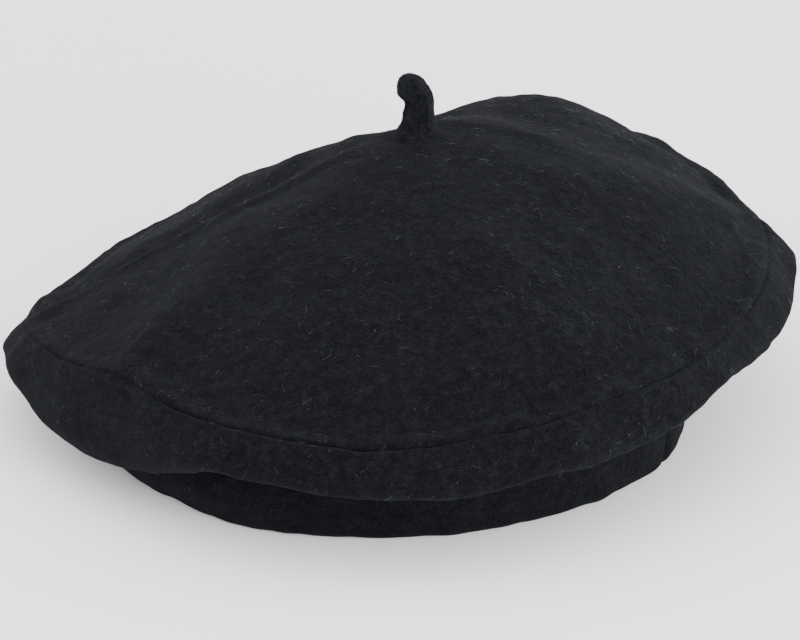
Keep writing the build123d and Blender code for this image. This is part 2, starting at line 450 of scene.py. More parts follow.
def tubes(middles, up, side, radius, sides):
    """Points and faces of many short tubes: middles is tube by ring, up and side per tube."""
    count, rings = middles.shape[:2]
    turn = np.arange(sides) * FULL_TURN / sides
    spoke = (up[:, None, None] * np.cos(turn)[:, None] + side[:, None, None] * np.sin(turn)[:, None])
    points = middles[:, :, None] + spoke * radius[..., None, None]
    r, s = np.arange(rings - 1)[:, None], np.arange(sides)[None, :]
    a, b = r * sides + s, r * sides + (s + 1) % sides
    quads = np.stack([a, b, b + sides, a + sides], axis=-1).reshape(-1, 4)
    faces = (quads[None] + (np.arange(count) * rings * sides)[:, None, None]).reshape(-1, 4)
    return points.reshape(-1, 3), faces


def scatter(grid, count, random):
    """Random points on a grid, evenly by area, with the surface's normal and two tangents."""
    wrapped = np.concatenate([grid, grid[:, :1]], axis=1)
    a, b = wrapped[:-1, :-1], wrapped[:-1, 1:]
    c, d = wrapped[1:, :-1], wrapped[1:, 1:]
    cross = np.cross(c - a, b - a)
    area = np.linalg.norm(cross, axis=-1)
    cell = random.choice(area.size, count, p=area.ravel() / area.sum())
    u, v = random.random((count, 1)), random.random((count, 1))
    corners = [p.reshape(-1, 3)[cell] for p in (a, b, c, d)]
    place = ((1 - v) * ((1 - u) * corners[0] + u * corners[1])
             + v * ((1 - u) * corners[2] + u * corners[3]))
    n = cross.reshape(-1, 3)[cell] / area.reshape(-1, 1)[cell]
    heading = random.normal(size=(count, 3))
    heading = unit(heading - n * (heading * n).sum(axis=1, keepdims=True))
    return place, n, heading, np.cross(n, heading)


def fibres(name, grid, count, length, radius, rise, curl, rings, seed, material, slot):
    """Loose fibres on a surface: each leaves the cloth at a slant, bends over and curls."""
    random = np.random.default_rng(seed)
    root, n, heading, side = scatter(grid, count, random)
    long = random.uniform(*length, count)[:, None, None]
    lift = random.uniform(*rise, count)[:, None, None]
    bend = random.uniform(-curl, curl, count)[:, None, None]
    wave = random.uniform(0, curl, count)[:, None, None]
    s = np.linspace(0, 1, rings)[None, :, None]
    along = s * np.cos(bend * s * 1.2)
    aside = bend * s**2 * 0.5 + 0.10 * wave * np.sin(s * 7)
    above = lift * s * (1 - 0.75 * s) - 0.05
    middles = root[:, None] + long * (heading[:, None] * along + side[:, None] * aside + n[:, None] * above)
    thin = radius * (1 - 0.55 * s[..., 0]) * np.ones((count, 1))
    return add_mesh(name, *tubes(middles, n, side, thin, 3), material, slot)


def stitches(name, line, lift, length, gap, radius, material, slot):
    """Running stitches along a line of points, each an arch of thread lifted off the cloth."""
    along = run_of(line)
    starts = np.arange(0.5 * gap, along[-1] - length, length + gap)
    s = np.linspace(0, 1, 5)
    at = starts[:, None] + length * s
    middles = points_on(line, along, at)
    out = unit(points_on(lift, along, at[:, 2]))
    middles = middles + out[:, None] * (radius * (2.2 * np.sin(math.pi * s) - 0.9))[None, :, None]
    side = np.cross(unit(middles[:, -1] - middles[:, 0]), out)
    size = radius * np.array([0.55, 0.95, 1.0, 0.95, 0.55])[None] * np.ones((len(starts), 1))
    return add_mesh(name, *tubes(middles, out, side, size, 6), material, slot)


# ---- Cloth simulation ----
SIM_COLUMNS, SIM_TOP_ROWS, SIM_SIDE_ROWS = 144, 46, 22
SIM_FRAMES = 26
CLOTH = dict(quality=6, mass=0.3, tension_stiffness=12, compression_stiffness=12, shear_stiffness=8,
             bending_stiffness=12.0, air_damping=4, vertex_group_mass="sewn", pin_stiffness=1.0,
             shrink_min=-0.012)
WEIGHT = 0.3                 # the share of its weight that the settling cloth feels
MOST_MOVE = 3.5              # how far a point of the cloth may settle, in millimetres
EASING = 3                   # passes that even out neighbouring movements
STALK_EASING = 70            # many more round the stalk, where the pinned cloth would leave a ring
STALK_EASED_ROWS, STALK_EASED_FADE = 32, 12    # as far as this row, fading over the last of them
LOOSE_HOLD, SEAM_HOLD = 0.13, 0.5    # how firmly free cloth and the rim seam stay; sewn cloth is 1
STALK_HELD_ROWS, COLLAR_HELD_ROWS = 14, 3


def settle(grid, hold):
    """How far each point of a grid moves as its cloth settles. hold is 1 where it is sewn."""
    rows, columns = grid.shape[:2]
    piece = put_mesh("settling", grid, ring_faces(rows, columns))
    mesh = piece.data
    group = piece.vertex_groups.new(name="sewn")
    for i, weight in enumerate(hold.ravel()):
        group.add([i], float(weight), "REPLACE")
    cloth = piece.modifiers.new("cloth", "CLOTH")
    for name, value in CLOTH.items():
        setattr(cloth.settings, name, value)
    cloth.settings.effector_weights.gravity = WEIGHT
    cloth.collision_settings.use_collision = False
    cloth.point_cache.frame_start, cloth.point_cache.frame_end = 1, SIM_FRAMES
    scene = bpy.context.scene
    for number in range(1, SIM_FRAMES + 1):
        scene.frame_set(number)
    settled = piece.evaluated_get(bpy.context.evaluated_depsgraph_get())
    points = np.zeros(rows * columns * 3)
    settled.data.vertices.foreach_get("co", points)
    bpy.data.objects.remove(piece)
    bpy.data.meshes.remove(mesh)
    scene.frame_set(1)
    return points.reshape(rows, columns, 3) / MM - grid


def settled_crown():
    """The movement of the crown's two panels as the cloth settles, as coarse grids."""
    top = leaned(top_surface(SIM_TOP_ROWS, SIM_COLUMNS))
    side = leaned(side_surface(SIM_SIDE_ROWS, SIM_COLUMNS))
    grid = np.concatenate([top, side[1:]])
    hold = np.full(grid.shape[:2], LOOSE_HOLD)
    hold[:STALK_HELD_ROWS] = np.linspace(1, LOOSE_HOLD, STALK_HELD_ROWS)[:, None]
    hold[-COLLAR_HELD_ROWS:] = 1.0
    hold[SIM_TOP_ROWS - 1] = SEAM_HOLD
    moved = settle(grid, hold)
    moved = eased(moved, EASING)
    size = np.linalg.norm(moved, axis=-1, keepdims=True)
    moved = moved * np.minimum(1, MOST_MOVE / np.maximum(size, 1e-9))
    by_stalk = smoothstep((STALK_EASED_ROWS - np.arange(len(moved))) / STALK_EASED_FADE)[:, None, None]
    moved = moved + by_stalk * (eased(moved, STALK_EASING) - moved)
    return moved[:SIM_TOP_ROWS], moved[SIM_TOP_ROWS - 1:]


def eased(moved, passes):
    """A grid of movements, each averaged with its neighbours again and again."""
    for _ in range(passes):
        sides = (np.roll(moved, 1, axis=1) + np.roll(moved, -1, axis=1)) / 2
        ends = (np.concatenate([moved[:1], moved[:-1]]) + np.concatenate([moved[1:], moved[-1:]])) / 2
        moved = (2 * moved + sides + ends) / 4
    return moved


# ---- Materials ----
def set_inputs(node, values):
    """Sets a node's inputs, which are named in lower case with underscores."""
    for name, value in values.items():
        node.inputs[name.replace("_", " ").title().replace("Ior", "IOR")].default_value = value


class Nodes:
    """A short way to write a material's nodes."""

    def __init__(self, name):
        self.material = bpy.data.materials.new(name)
        self.material.use_nodes = True
        self.tree = self.material.node_tree
        self.shader = self.tree.nodes["Principled BSDF"]
        self.place = self.tree.nodes.new("ShaderNodeTexCoord").outputs["Object"]

    def add(self, kind, place=None, **values):
        """A new node with its inputs set, and with the place that its pattern follows."""
        node = self.tree.nodes.new("ShaderNode" + kind)
        set_inputs(node, values)
        if place is not None:
            self.link(place, node.inputs["Vector"])
        return node

    def link(self, source, target):
        self.tree.links.new(source, target)

    def feed(self, socket, value):
        """Sets a socket from a number, a colour or another node's output."""
        if isinstance(value, (int, float)):
            socket.default_value = value
        elif isinstance(value, tuple):
            socket.default_value = (*value, 1.0)
        else:
            self.link(value, socket)

    def set(self, **values):
        set_inputs(self.shader, values)

    def stretched(self, scale, rotation=(0, 0, 0)):
        """The place on the object, scaled and turned."""
        return self.add("Mapping", self.place, scale=scale, rotation=rotation).outputs["Vector"]

    def noise(self, scale, detail=3.0, roughness=0.55, distortion=0.0, place=None):
        node = self.add("TexNoise", place or self.place, scale=scale, detail=detail,
                        roughness=roughness, distortion=distortion)
        return node.outputs["Fac"]

    def math(self, kind, a, b=0.0, c=0.0):
        node = self.add("Math")
        node.operation = kind
        for socket, value in zip(node.inputs, (a, b, c)):
            self.feed(socket, value)
        return node.outputs[0]

    def spread(self, value, low, high, to_low=0.0, to_high=1.0):
        """A value's range from low to high stretched to another range."""
        node = self.add("MapRange", from_min=low, from_max=high, to_min=to_low, to_max=to_high)
        self.link(value, node.inputs["Value"])
        return node.outputs[0]

    def threads(self, scale, width, distortion=1.2, place=None):
        """Thin curly lines, as fibres lie in felted cloth: the contours of a noise."""
        level = self.noise(scale, 1.5, 0.5, distortion, place)
        off = self.math("ABSOLUTE", self.math("SUBTRACT", level, 0.5))
        return self.spread(off, 0.0, width, 1.0, 0.0)

    def mix(self, share, a, b):
        node = self.add("Mix")
        node.data_type = "RGBA"
        for i, value in ((0, share), (6, a), (7, b)):
            self.feed(node.inputs[i], value)
        return node.outputs[2]

    def colour(self, value):
        self.link(value, self.shader.inputs["Base Color"])

    def bump(self, *layers):
        """Layers of (height, distance in metres, strength), the coarsest first."""
        before = None
        for height, distance, strength in layers:
            node = self.add("Bump", strength=strength, distance=distance)
            self.link(height, node.inputs["Height"])
            if before is not None:
                self.link(before, node.inputs["Normal"])
            before = node.outputs["Normal"]
        self.link(before, self.shader.inputs["Normal"])


INK = (0.0005, 0.0006, 0.0008)       # the wool's darkest fibres
SLATE = (0.0039, 0.0041, 0.0056)     # its lighter ones
HAIR = (0.022, 0.023, 0.026)         # stray pale fibres in the cloth


def wool(name, lift=1.0, grain=(1, 1, 1)):
    """Milled wool: a felted nap of fine curly fibres with paler ones among them."""
    n = Nodes(name)
    place = n.stretched(grain)
    lumps = n.noise(330, 2.0, 0.5, 0.4, place)
    felt = n.noise(1150, 3.0, 0.6, 0.8, place)
    fine = n.noise(3600, 2.0, 0.6, 0.3, place)
    curls = n.threads(520, 0.020, 1.8, place)
    wisps = n.threads(1250, 0.035, 1.3, place)
    patches = n.noise(28, 3.0, 0.6)
    base = n.mix(n.spread(felt, 0.32, 0.62), INK, SLATE)
    base = n.mix(n.math("MULTIPLY", wisps, 0.32), base, HAIR)
    base = n.mix(n.math("MULTIPLY", curls, n.spread(lumps, 0.50, 0.68, 0.0, 0.45)), base, HAIR)
    # lift scales the wool's brightness all over; above 1 it is painted light, a lit copy of the same wool
    shade = n.math("MULTIPLY", n.spread(patches, 0.25, 0.75, 0.86 * lift, 1.12 * lift),
                   n.spread(lumps, 0.34, 0.66, 0.72, 1.3))
    gain = n.add("VectorMath")
    gain.operation = "SCALE"
    n.link(base, gain.inputs[0])
    n.link(shade, gain.inputs["Scale"])
    n.colour(gain.outputs[0])
    n.bump((lumps, 0.0012, 0.6), (felt, 0.0010, 0.9), (curls, 0.00022, 0.5),
           (wisps, 0.00016, 0.45), (fine, 0.00012, 0.5))
    n.set(roughness=0.96, sheen_weight=0.022, sheen_roughness=0.6,
          sheen_tint=(0.78, 0.86, 1.0, 1.0), specular_ior_level=0.03)
    return n.material


def thread_material(name, colour, pale):
    """Twisted sewing thread: fine slanted ply lines."""
    n = Nodes(name)
    ply = n.noise(2600, 2.0, 0.5, 0.0, n.stretched((1, 1, 3.5), (0.4, 0.3, 0)))
    n.colour(n.mix(n.spread(ply, 0.35, 0.65), colour, pale))
    n.bump((ply, 0.00012, 0.6))
    n.set(roughness=0.9, specular_ior_level=0.04)
    return n.material


wool_cloth = wool("wool_cloth_nap")
# the stalk's wool is the crown's wool painted 1.55 times lighter: painted light on the same wool
wool_stalk = wool("wool_stalk_painted_lighter", 1.55, (1.0, 1.0, 0.45))
black_thread = thread_material("black_thread", (0.0015, 0.0016, 0.002), (0.006, 0.0062, 0.007))
pale_thread = thread_material("pale_thread", (0.30, 0.30, 0.29), (0.45, 0.45, 0.43))


def fibre_material(name, dark, light, gloss):
    """Single fibres, each a little lighter or darker than the next."""
    n = Nodes(name)
    n.colour(n.mix(n.spread(n.noise(240, 1.0), 0.35, 0.65), dark, light))
    n.bump((n.noise(5000, 1.0), 0.00002, 0.3))
    n.set(roughness=0.8, sheen_weight=0.0, specular_ior_level=gloss)
    return n.material


def satin_material():
    """Black satin: a fine twill of floating threads with a soft broad gloss."""
    n = Nodes("lining_satin_weave")
    warp = n.noise(2400, 1.0, 0.5, 0.0, n.stretched((1.0, 0.12, 1.0), (0, 0, 0.7)))
    weft = n.noise(2400, 1.0, 0.5, 0.0, n.stretched((0.12, 1.0, 1.0), (0, 0, 0.7)))
    cloth = n.math("MAXIMUM", warp, weft)
    n.colour(n.mix(n.spread(cloth, 0.4, 0.7), (0.010, 0.010, 0.012), (0.028, 0.029, 0.033)))
    n.bump((n.noise(60, 2.0), 0.0008, 0.4), (cloth, 0.00008, 0.6))
    n.set(roughness=0.36, anisotropic=0.5, specular_ior_level=0.5)
    return n.material


def ribbon_material():
    """Grosgrain: fine ribs across the ribbon's width, so upright on the headband."""
    n = Nodes("grosgrain_ribbon")
    xyz = n.add("SeparateXYZ", n.place)
    turn = n.math("ARCTAN2", xyz.outputs["Y"], xyz.outputs["X"])
    ribs = n.math("SINE", n.math("MULTIPLY", turn, 640.0))
    yarn = n.math("SINE", n.math("MULTIPLY", xyz.outputs["Z"], 16000.0))
    lift = n.spread(ribs, -1.0, 1.0)
    n.colour(n.mix(lift, (0.006, 0.006, 0.008), (0.022, 0.023, 0.027)))
    n.bump((lift, 0.00025, 0.8), (yarn, 0.00005, 0.4), (n.noise(900, 2.0), 0.0001, 0.3))
    n.set(roughness=0.55, sheen_weight=0.12, specular_ior_level=0.35)
    return n.material


def felt_material():
    """Stiff grey interlining felt, pressed flat."""
    n = Nodes("interlining_felt_web")
    web = n.noise(900, 4.0, 0.65, 1.0)
    n.colour(n.mix(n.spread(web, 0.35, 0.7), (0.05, 0.05, 0.052), (0.14, 0.14, 0.142)))
    n.bump((web, 0.0003, 0.7), (n.threads(600, 0.03), 0.0002, 0.6))
    n.set(roughness=0.95, sheen_weight=0.2, specular_ior_level=0.1)
    return n.material


def label_material():
    """A blank label of close plain weave."""
    n = Nodes("label_weave")
    yarns = []
    for direction in ("X", "Y"):
        wave = n.add("TexWave", n.stretched((1, 1, 0)), scale=900)
        wave.bands_direction = direction
        yarns.append(wave.outputs["Fac"])
    weave = n.math("MAXIMUM", *yarns)
    n.colour(n.mix(n.math("MULTIPLY", weave, n.spread(n.noise(150, 2.0), 0.3, 0.7, 0.6, 1.0)),
                   (0.20, 0.20, 0.19), (0.42, 0.41, 0.39)))
    n.bump((weave, 0.00012, 0.7))
    n.set(roughness=0.6, sheen_weight=0.1, specular_ior_level=0.3)
    return n.material


nap_fibre = fibre_material("nap_fibre", (0.0012, 0.0013, 0.0018), (0.0066, 0.0070, 0.0090), 0.04)
lint_fibre = fibre_material("lint_fibre", (0.02, 0.021, 0.023), (0.24, 0.24, 0.25), 0.1)
satin = satin_material()
ribbon = ribbon_material()
felt = felt_material()
label_cloth = label_material()


# ---- The crown ----
GROOVE_DEPTH = 1.5           # how deep the rim seam draws the cloth in
GROOVE_HALF = 0.9            # and how far from the seam the cloth starts to turn in
FOLD_SHARE = 0.42            # of a fold's whole height, the most that one layer of wool takes up
FOLD_LEAST = 0.15            # the thinnest it gets there
FAR_BELOW = -99.0            # stands for a floor that nothing reaches
FINE_TOP_ROWS, FINE_SIDE_ROWS = 260, 160
SIDE_ROUNDING = 60           # passes of rounding for the side panel's face
FACING_ROUNDING = 25         # and for the directions that the wool's thickness is measured in
TOP_ROWS, SIDE_ROWS = 120, 62
TOP_BACK_ROWS, SIDE_BACK_ROWS = 50, 30
SEAM_ROW = TOP_ROWS - 1


def bunched(rows):
    """Positions from 0 to 1 that crowd towards 1, where the cloth turns sharply."""
    return 1 - (1 - np.linspace(0, 1, rows)) ** 1.3


def rounded(grid, passes):
    """A grid with its sharp turns from row to row eased, its first and last rows kept."""
    for _ in range(passes):
        grid = np.concatenate([grid[:1], (grid[:-2] + 2 * grid[1:-1] + grid[2:]) / 4, grid[-1:]])
    return grid


def whole_crown():
    """Both panels' outer face in one grid, settled, from the stalk to the headband."""
    top_moved, side_moved = settled_crown()
    top = leaned(top_surface(FINE_TOP_ROWS, COLUMNS)) + resample(top_moved, FINE_TOP_ROWS, COLUMNS)
    side = leaned(side_surface(FINE_SIDE_ROWS, COLUMNS)) + resample(side_moved, FINE_SIDE_ROWS, COLUMNS)
    side = rounded(side, SIDE_ROUNDING)
    return np.concatenate([by_rows(top, bunched(TOP_ROWS)), by_rows(side, 1 - bunched(SIDE_ROWS)[::-1])[1:]])


def from_seam(grid):
    """Distance along the cloth from the rim seam to each point."""
    along = run_of(grid)
    return np.abs(along - along[SEAM_ROW])


def sewn(grid, facing):
    """The crown with its rim seam drawn in, puckers along it, and the felt's unevenness."""
    away = from_seam(grid)
    seam = grid[SEAM_ROW][None]
    tight = 1 + 0.3 * ripple(seam, 13.0, 1.0, 41)
    front = 0.25 + 0.75 * azimuth_bump(azimuths(grid.shape[1]), 266, 66)[None]
    groove = -GROOVE_DEPTH * front * tight * np.exp(-((away / GROOVE_HALF) ** 1.3))
    pucker = 0.14 * ripple(seam, 10.0, 1.0, 42) * np.exp(-((away - 3.5) / 4.5) ** 2)
    felt = ripple(grid, 26.0, 0.24, 11) + ripple(grid, 8.5, 0.09, 12)
    return grid + facing * (groove + pucker + felt)[..., None]


def wool_thickness(shell):
    """The wool's thickness at each point: less where the rim is pressed into a tight fold."""
    radius, z = off_axis(shell), shell[..., 2]
    height = np.empty(radius.shape)
    for i in range(shell.shape[1]):
        widest = radius[:, i].argmax()
        r_above, z_above = np.maximum.accumulate(radius[:widest + 1, i]), z[:widest + 1, i]
        r_below, z_below = np.maximum.accumulate(radius[:widest - 1:-1, i]), z[:widest - 1:-1, i]
        height[:widest + 1, i] = z_above - np.interp(r_above, r_below, z_below, left=FAR_BELOW)
        height[widest:, i] = (np.interp(r_below, r_above, z_above) - z_below)[::-1]
    return np.clip(FOLD_SHARE * height, FOLD_LEAST, WOOL_T)


smooth_crown = whole_crown()
crown_facing = normals(rounded(smooth_crown, FACING_ROUNDING))
crown_face = sewn(smooth_crown, crown_facing)
crown_back = crown_face - crown_facing * wool_thickness(crown_face)[..., None]
top_back = by_rows(crown_back[:SEAM_ROW + 1], np.linspace(0, 1, TOP_BACK_ROWS))
side_back = by_rows(crown_back[SEAM_ROW:], np.linspace(0, 1, SIDE_BACK_ROWS))
crown_top = add_cloth("crown_top", crown_face[:SEAM_ROW + 1], top_back, wool_cloth, "wool_cloth")
crown_side = add_cloth("crown_side", crown_face[SEAM_ROW:], side_back, wool_cloth, "wool_cloth")
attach(crown_top, "crown")
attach(crown_side, "crown")
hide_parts("crown_top_panel")
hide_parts("crown_side_panel")

# ---- The headband ----
BAND_WALL_ROWS, BAND_BACK_ROWS = 46, 44


def add_headband():
    """The headband, and the grid of its outer face."""
    middle = band_middle(smooth_crown[-1], BAND_WALL_ROWS)
    middle = middle + normals(middle) * ripple(middle, 9.0, 0.09, 13)[..., None]
    n = normals(middle)
    outer, inner = middle + n * BAND_T / 2, middle - n * BAND_T / 2
    for face in (outer, inner):
        face[..., 2] = np.maximum(face[..., 2], 0.0)
    inner = by_rows(inner, np.linspace(0, 1, BAND_BACK_ROWS))
    return add_cloth("headband", outer, inner, wool_cloth, "wool_cloth"), outer


headband, band_face = add_headband()
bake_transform(headband)
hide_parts("headband_shell", "back_seam_thread", "collar_thread")


def add_stalk():
    """The stalk, closed at both ends, and the grid of its face."""
    grid = stalk_face()
    grid = grid + normals(grid) * (ripple(grid, 7.0, 0.10, 31) + ripple(grid, 2.5, 0.05, 32))[..., None]
    ends = grid[:1].mean(axis=1), grid[-1:].mean(axis=1)
    points = np.concatenate([grid.reshape(-1, 3), *ends])
    rim = np.arange(STALK_COLUMNS)
    after = (rim + 1) % STALK_COLUMNS
    last = (STALK_ROWS - 1) * STALK_COLUMNS
    foot = np.stack([rim, after, 0 * rim + len(points) - 2], axis=1)
    tip = np.stack([last + after, last + rim, 0 * rim + len(points) - 1], axis=1)
    quads = ring_faces(STALK_ROWS, STALK_COLUMNS)[:, ::-1]
    faces = np.array(quads.tolist() + foot.tolist() + tip.tolist(), dtype=object)
    return add_mesh("stalk_tab", points, faces, wool_stalk, "wool_stalk"), grid


stalk_tab, stalk_grid = add_stalk()
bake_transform(stalk_tab)
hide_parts("stalk", "stalk_root", "stalk_tack_thread")

# ---- Inside: lining, sweatband, interlining and label ----
LINING_GAP = 1.4             # air between the wool and the lining
LINING_COLUMNS = 256
GATHERS, GATHER_DEPTH = 46, 0.9
LINING_TOP_ROWS, LINING_SIDE_ROWS = 60, 16
LINING_MIDDLE = (0.03, 0.4, 0.75)    # rows that close the lining under the stalk's foot
RIM_OPENING = 2.0            # how near the lining's two faces come at the rim
RIM_SHORT = 4.0              # how far short of the rim's own turn the lining turns back


def lining_grid():
    """The lining's wool side: it follows the crown loosely in soft gathers, but not into the rim."""
    spare = smooth_crown[:, ::COLUMNS // LINING_COLUMNS]
    t = np.linspace(0, 1, spare.shape[0])[:, None]
    theta = azimuths(LINING_COLUMNS)[None, :]
    gather = GATHER_DEPTH * np.sin(GATHERS * theta + 2 * np.sin(3 * theta)) * smoothstep((t - 0.25) / 0.4)
    loose = LINING_GAP + 0.6 + ripple(spare, 30.0, 0.7, 51) + gather * smoothstep((1 - t) / 0.06)
    least = 0.9 + smoothstep((0.5 - t) / 0.4)
    inset = WOOL_T + np.clip(np.minimum(loose, free_room(spare)), least, None)
    grid = spare - normals(spare) * inset[..., None]
    columns = [rim_trimmed(grid[:SEAM_ROW + 1, i], grid[:SEAM_ROW:-1, i]) for i in range(LINING_COLUMNS)]
    cloth = np.stack(columns, axis=1)
    centre = cloth[0].mean(axis=0) - (0, 0, 0.6)
    middle = [centre + (cloth[0] - centre) * share for share in LINING_MIDDLE]
    return np.concatenate([middle, cloth, tucked_edge(spare[-1])])


def free_room(shell):
    """Half the clear height inside the wool at each point, or what is left over the sweatband."""
    radius, z = off_axis(shell), shell[..., 2]
    room = np.empty(radius.shape)
    for i in range(shell.shape[1]):
        r_top, z_top = radius[:SEAM_ROW + 1, i], z[:SEAM_ROW + 1, i]
        r_side, z_side = radius[:SEAM_ROW:-1, i], z[:SEAM_ROW:-1, i]
        widest = r_side.argmax() + 1
        room[:SEAM_ROW + 1, i] = z_top - np.interp(r_top, r_side[:widest], z_side[:widest], left=FAR_BELOW)
        room[SEAM_ROW + 1:, i] = (np.interp(r_side, r_top, z_top) - z_side)[::-1]
    room = room / 2 - WOOL_T - RIM_OPENING / 2
    over_ribbon = (radius > HEAD_R - 4) & (radius < CORNER_R)
    over_ribbon[SEAM_ROW + 1:] = False
    room[over_ribbon] = (z - SWEATBAND_H - 0.6 - WOOL_T)[over_ribbon]
    return room


def rim_trimmed(top, side):
    """One column of the lining: out along the top, back along the side, cut where they would cross."""
    top, side = (line[:off_axis(line).argmax() + 1] for line in (top, side))
    r_top, r_side = off_axis(top), off_axis(side)
    reach = np.linspace(CORNER_R, min(r_top[-1], r_side[-1]) - RIM_SHORT, 80)
    gap = np.interp(reach, r_top, top[:, 2]) - np.interp(reach, r_side, side[:, 2])
    last = reach[np.append(np.flatnonzero(gap < RIM_OPENING), len(reach) - 1)[0]]
    top, side = cut_at(top, last, LINING_TOP_ROWS), cut_at(side, last, LINING_SIDE_ROWS)
    share = np.linspace(0, 1, 6)[1:-1, None]
    return np.concatenate([top, top[-1] * (1 - share) + side[-1] * share, side[::-1]])


def cut_at(line, last, rows):
    """A line's points at even steps along it, from its start to where it reaches a radius."""
    run, radius = run_of(line), off_axis(line)
    outer = radius > CORNER_R - 3
    at = np.linspace(0, np.interp(last, radius[outer], run[outer]), rows)
    return points_on(line, run, at)


def tucked_edge(corner):
    """The lining's last rows: in over the headband and down behind the sweatband."""
    theta = azimuths(corner.shape[0])
    top = corner[:, 2]
    low = np.minimum(top - 7, 24.0)
    rows = ((4.0, top + 2.6), (2.3, top + 1.6), (1.7, top - 1.5), (1.5, (top + low) / 2 - 1), (1.5, low))
    return np.array([around(HEAD_R + out, theta, z) for out, z in rows])


lining = lining_grid()
lining_back = lining - normals(lining) * LINING_T
split = len(LINING_MIDDLE) + LINING_TOP_ROWS
lining_dome = add_cloth("lining_dome", lining[:split + 1], lining_back[:split + 1], satin, "lining_satin")
lining_skirt = add_cloth("lining_skirt", lining[split:], lining_back[split:], satin, "lining_satin")
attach(lining_dome, "crown")
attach(lining_skirt, "crown")
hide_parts("lining_top")
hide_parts("lining_side")


RIBBON_T, RIBBON_FOOT, RIBBON_STITCH_Z = 0.62, 0.6, 2.6


def add_sweatband():
    """A ribbed ribbon with rounded edges, its ends lapped at the headband's join."""
    z = np.linspace(SWEATBAND_H - 0.2, RIBBON_FOOT, 26)[:, None]
    theta = azimuths(COLUMNS)[None, :]
    round_edge = 0.25 * (np.exp(-((z - z[0]) / 0.5) ** 2) + np.exp(-((z - z[-1]) / 0.5) ** 2))
    inner = around(HEAD_R + 0.08 + round_edge, theta, z)
    lap = turn_from(theta, math.radians(JOIN_DEG))
    step = 0.2 * smoothstep(lap / 0.012) * np.exp(-np.clip(lap, 0, None) / 0.12)
    wave = 0.07 * (1 + np.sin(9 * theta + 1)) * (inner[..., 2] / SWEATBAND_H) ** 2
    grow = 1 + (step + wave) / HEAD_R
    inner[..., :2] *= grow[..., None]
    outer = inner.copy()
    outer[..., :2] *= 1 + (RIBBON_T - 2 * round_edge[..., None]) / HEAD_R
    return add_cloth("sweatband_ribbon", outer, inner, ribbon, "sweatband_ribbon")


sweatband = add_sweatband()
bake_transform(sweatband)
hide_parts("sweatband")


INTERLINING_FACES = (94.6, 93.9)
INTERLINING_FOOT, INTERLINING_SHORT = 11.0, 1.5    # its lower edge, and how far it stops below the crown


def add_interlining():
    """A strip of stiff felt between the ribbon and the headband's wool."""
    tall = smooth_crown[-1, ::2, 2][None] - (INTERLINING_FOOT + INTERLINING_SHORT)
    z = np.linspace(1, 0, 14)[:, None] * tall + INTERLINING_FOOT
    theta = azimuths(COLUMNS // 2)[None, :]
    walls = []
    for radius in INTERLINING_FACES:
        walls.append(around(radius + ripple(around(radius, theta, z), 20, 0.08, 61), theta, z))
    return add_cloth("band_interlining", *walls, felt, "interlining_felt")


interlining = add_interlining()
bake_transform(interlining)
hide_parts("headband_interlining")

STAY_ROWS = slice(2, 13)
STAY_GAP, STAY_T = 0.5, 0.6
stay_face = smooth_crown[STAY_ROWS, ::4] - normals(smooth_crown[:, ::4])[STAY_ROWS] * (WOOL_T + STAY_GAP)
stay_patch = add_cloth("stalk_stay", stay_face, stay_face - (0, 0, STAY_T), felt, "interlining_felt")
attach(stay_patch, "crown")
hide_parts("stalk_stay_patch")

LABEL_SIZE = (34.0, 22.0)
LABEL_X = -44.0
LABEL_DROP, LABEL_SLACK, LABEL_T = 1.8, 0.5, 0.35
LABEL_STEP = 6               # the lining's height is read at every sixth point of the label


def lining_height(x, y):
    """Height of the lining's inner face over points in plan."""
    flat = lining_back[:split].reshape(-1, 3)
    heights = np.empty(x.shape)
    for i in np.ndindex(x.shape):
        near = np.argpartition((flat[:, 0] - x[i]) ** 2 + (flat[:, 1] - y[i]) ** 2, 6)[:6]
        gap = np.hypot(flat[near, 0] - x[i], flat[near, 1] - y[i]) + 0.05
        heights[i] = (flat[near, 2] / gap).sum() / (1 / gap).sum()
    return heights


def add_label():
    """A blank woven label, a little slack on the lining, and the line of its edge."""
    u, v = np.linspace(-1, 1, 35)[:, None], np.linspace(-1, 1, 23)[None, :]
    x = LABEL_X + u * LABEL_SIZE[0] / 2 + 0 * v
    y = v * LABEL_SIZE[1] / 2 + 0 * u
    coarse = lining_height(x[::LABEL_STEP, ::LABEL_STEP], y[::LABEL_STEP, ::LABEL_STEP])
    rows = np.array([np.interp(v[0], v[0, ::LABEL_STEP], line) for line in coarse])
    z = np.array([np.interp(u[:, 0], u[::LABEL_STEP, 0], rows[:, j]) for j in range(rows.shape[1])]).T
    z = z - LABEL_DROP - LABEL_SLACK * (1 - u**4) * (1 - v**4)
    up, down = np.stack([x, y, z], -1), np.stack([x, y, z - LABEL_T], -1)
    index = np.arange(x.size).reshape(x.shape)
    quads = np.stack([index[:-1, :-1], index[1:, :-1], index[1:, 1:], index[:-1, 1:]], -1).reshape(-1, 4)
    edge = np.concatenate([index[0], index[1:, -1], index[-1, -2::-1], index[-2:0:-1, 0]])
    after = np.roll(edge, -1)
    wall = np.stack([edge, after, after + x.size, edge + x.size], -1)
    faces = np.concatenate([quads, quads[:, ::-1] + x.size, wall[:, ::-1]])
    line = down.reshape(-1, 3)[np.append(edge, edge[0])]
    middle = down.reshape(-1, 3).mean(axis=0)
    line = line + (middle - line) * (0.06, 0.08, 0)
    points = np.concatenate([up.reshape(-1, 3), down.reshape(-1, 3)])
    return add_mesh("label", points, faces, label_cloth, "label_cloth"), line


label, label_edge = add_label()
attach(label, "crown")
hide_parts("lining_label")

# ---- Stitching ----
def ring_line(grid, row):
    """A row of a grid as a closed line, with the surface's normals along it."""
    line, n = grid[row], normals(grid)[row]
    return np.vstack([line, line[:1]]), np.vstack([n, n[:1]])


